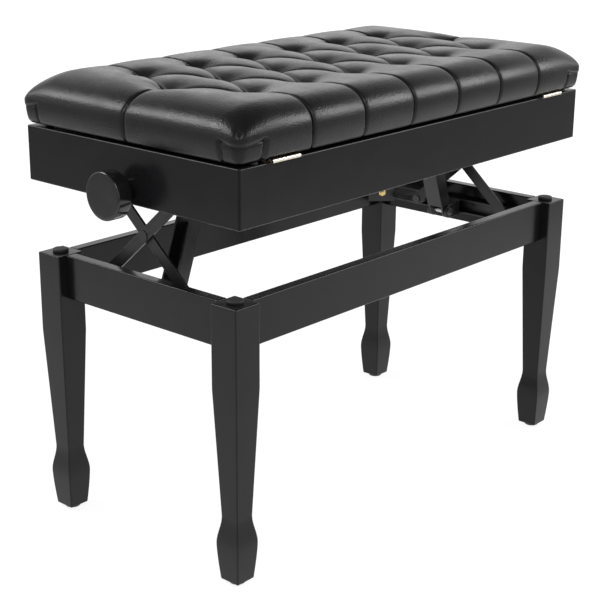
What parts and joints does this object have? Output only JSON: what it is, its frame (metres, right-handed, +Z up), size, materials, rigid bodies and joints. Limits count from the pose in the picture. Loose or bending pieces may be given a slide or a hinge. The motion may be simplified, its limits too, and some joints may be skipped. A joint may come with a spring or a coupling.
{
  "type": "adjustable piano bench",
  "caption": "Height-adjustable piano bench: a tufted leather lid hinged on a storage box, raised over a four-legged base by scissor frames and a spindle with knobs.",
  "frame": {"origin": "centre of the footprint on the floor", "axes": "+X along the bench to its right end, +Y across it to the front, where the lid opens, +Z up from the floor"},
  "size_m": [0.768, 0.38, 0.581],
  "materials": {
    "lacquered_wood": "high-gloss black polyester lacquer with slightly rounded edges",
    "painted_cleat": "satin black paint on wood",
    "panel_board": "thin board, matt black inside the storage box",
    "lid_base": "plywood under black dust cloth",
    "foam": "upholstery foam, hidden by the cover",
    "seat_leather": "black faux leather with a fine pebble grain, deep tufted and pleated",
    "black_steel": "black powder coat, semi-gloss",
    "bright_steel": "bare steel pins, lightly greased",
    "spindle_steel": "threaded steel spindle and its nuts, dark and oiled",
    "screw_black": "black oxide screws",
    "roller_nylon": "dark nylon rollers",
    "knob_plastic": "black moulded plastic, glossy",
    "hinge_brass": "polished pale brass plate",
    "bush_bronze": "plain bronze bearing metal",
    "zinc_yellow": "yellow passivated zinc on steel",
    "rubber_black": "matt black rubber"
  },
  "bodies": {
    "base": {"leg_front_left": "lacquered_wood", "leg_front_right": "lacquered_wood", "leg_rear_left": "lacquered_wood", "leg_rear_right": "lacquered_wood", "apron_front": "lacquered_wood", "apron_rear": "lacquered_wood", "apron_left": "lacquered_wood", "apron_right": "lacquered_wood", "foot_glides": "rubber_black", "leg_top_bumpers": "rubber_black", "corner_brackets": "black_steel", "corner_bolts": "zinc_yellow", "corner_nuts": "zinc_yellow", "corner_bracket_screws": "screw_black", "left_lower_track": "black_steel", "right_lower_track": "black_steel", "lower_track_screws": "screw_black", "lower_pivot_pins": "bright_steel", "link_brackets": "black_steel", "link_pivot_pins": "bright_steel"},
    "seat_box": {"box_front": "lacquered_wood", "box_rear": "lacquered_wood", "box_left": "lacquered_wood", "box_right": "lacquered_wood", "storage_panel": "panel_board", "end_cleats": "painted_cleat", "left_upper_track": "black_steel", "right_upper_track": "black_steel", "upper_pivot_brackets": "black_steel", "upper_track_screws": "screw_black", "spindle_bushes": "bush_bronze", "hinge_box_leaves": "hinge_brass", "hinge_box_screws": "hinge_brass", "hinge_pins": "hinge_brass", "lid_rest_pads": "rubber_black"},
    "lid": {"lid_board": "lid_base", "seat_foam": "foam", "seat_cover": "seat_leather", "hinge_lid_leaves": "hinge_brass", "hinge_lid_screws": "hinge_brass"},
    "spindle": {"spindle": "spindle_steel", "left_knob": "knob_plastic", "right_knob": "knob_plastic", "spindle_collars": "spindle_steel"},
    "left_nut": {"left_nut": "spindle_steel"},
    "right_nut": {"right_nut": "spindle_steel"},
    "left_drive_link": {"left_drive_link": "black_steel"},
    "right_drive_link": {"right_drive_link": "black_steel"},
    "left_outer_arm": {"left_outer_arm": "black_steel", "left_arm_rivet": "black_steel", "left_upper_roller": "roller_nylon"},
    "right_outer_arm": {"right_outer_arm": "black_steel", "right_arm_rivet": "black_steel", "right_upper_roller": "roller_nylon"},
    "left_inner_arm": {"left_inner_arm": "black_steel", "left_upper_pin": "bright_steel", "left_lower_roller": "roller_nylon"},
    "right_inner_arm": {"right_inner_arm": "black_steel", "right_upper_pin": "bright_steel", "right_lower_roller": "roller_nylon"}
  },
  "joints": [
    {"name": "seat_lift", "type": "slide", "parent": "base", "child": "seat_box", "axis": [0, 0, 1], "range_m": [-0.087, 0]},
    {"name": "lid_hinge", "type": "hinge", "parent": "seat_box", "child": "lid", "pos_m": [0, -0.1836, 0.517], "axis": [1, 0, 0], "range_deg": [0, 85]},
    {"name": "spindle_turn", "type": "hinge", "parent": "seat_box", "child": "spindle", "pos_m": [0, 0, 0.462], "axis": [1, 0, 0], "range_deg": [0, 8017]},
    {"name": "left_nut_slide", "type": "slide", "parent": "seat_box", "child": "left_nut", "axis": [1, 0, 0], "range_m": [0, 0.0892]},
    {"name": "left_outer_arm_pivot", "type": "hinge", "parent": "base", "child": "left_outer_arm", "pos_m": [-0.298, 0.10235, 0.324], "axis": [1, 0, 0], "range_deg": [0, 27]},
    {"name": "left_arm_crossing", "type": "hinge", "parent": "left_outer_arm", "child": "left_inner_arm", "pos_m": [-0.298, 0.02312, 0.394], "axis": [1, 0, 0], "range_deg": [-53.94, 0]},
    {"name": "left_link_pivot", "type": "hinge", "parent": "base", "child": "left_drive_link", "pos_m": [-0.279, 0, 0.32], "axis": [0, 1, 0], "range_deg": [0, 48.71]},
    {"name": "right_nut_slide", "type": "slide", "parent": "seat_box", "child": "right_nut", "axis": [-1, 0, 0], "range_m": [0, 0.0892]},
    {"name": "right_outer_arm_pivot", "type": "hinge", "parent": "base", "child": "right_outer_arm", "pos_m": [0.298, -0.10235, 0.324], "axis": [-1, 0, 0], "range_deg": [0, 27]},
    {"name": "right_arm_crossing", "type": "hinge", "parent": "right_outer_arm", "child": "right_inner_arm", "pos_m": [0.298, -0.02312, 0.394], "axis": [-1, 0, 0], "range_deg": [-53.94, 0]},
    {"name": "right_link_pivot", "type": "hinge", "parent": "base", "child": "right_drive_link", "pos_m": [0.279, 0, 0.32], "axis": [0, -1, 0], "range_deg": [0, 48.71]}
  ],
  "couplings": [
    {"joint": "spindle_turn", "follows": "seat_lift", "rad_per_m": -1608.1},
    {"joint": "left_nut_slide", "follows": "seat_lift", "ratio": -1.0237},
    {"joint": "left_outer_arm_pivot", "follows": "seat_lift", "rad_per_m": -5.4053},
    {"joint": "left_arm_crossing", "follows": "seat_lift", "rad_per_m": 10.811},
    {"joint": "left_link_pivot", "follows": "seat_lift", "rad_per_m": -9.7611},
    {"joint": "right_nut_slide", "follows": "seat_lift", "ratio": -1.0237},
    {"joint": "right_outer_arm_pivot", "follows": "seat_lift", "rad_per_m": -5.4053},
    {"joint": "right_arm_crossing", "follows": "seat_lift", "rad_per_m": 10.811},
    {"joint": "right_link_pivot", "follows": "seat_lift", "rad_per_m": -9.7611}
  ]
}
